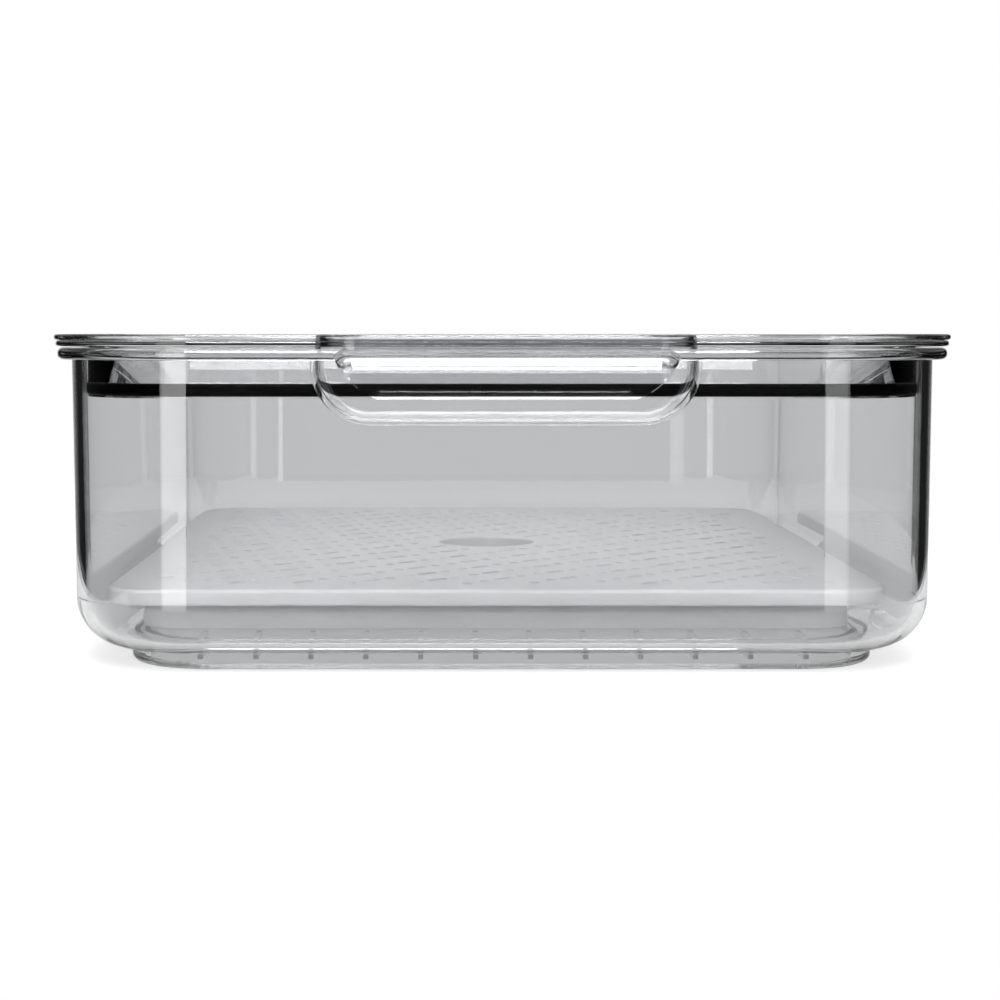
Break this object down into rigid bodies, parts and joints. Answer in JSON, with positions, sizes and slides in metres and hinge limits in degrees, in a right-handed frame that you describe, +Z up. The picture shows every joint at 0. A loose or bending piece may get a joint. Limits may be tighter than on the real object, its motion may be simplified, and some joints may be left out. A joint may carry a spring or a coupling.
{
  "type": "lidded fridge storage bin",
  "caption": "Clear rectangular fridge bin with rounded corners, a front finger pull, a lift-off sealed lid and a perforated drain tray.",
  "frame": {"origin": "on the surface the bin stands on, under the middle of its whole outline, the front pull included", "axes": "+Z up, -Y towards the front with the pull, +X to the right seen from the front"},
  "size_m": [0.254, 0.3146, 0.0924],
  "materials": {
    "clear_body": "polished clear moulded plastic",
    "clear_lid": "polished clear moulded plastic",
    "black_seal": "matte black silicone rubber",
    "white_tray": "satin translucent white moulded plastic"
  },
  "bodies": {
    "tub": {"bin_body": "clear_body"},
    "lid": {"lid": "clear_lid", "lid_gasket": "black_seal"},
    "tray": {"drain_tray": "white_tray"}
  },
  "joints": [
    {"name": "lid_lift", "type": "slide", "parent": "tub", "child": "lid", "axis": [0, 0, 1], "range_m": [0, 0.12]},
    {"name": "tray_lift", "type": "slide", "parent": "tub", "child": "tray", "axis": [0, 0, 1], "range_m": [0, 0.045]}
  ]
}
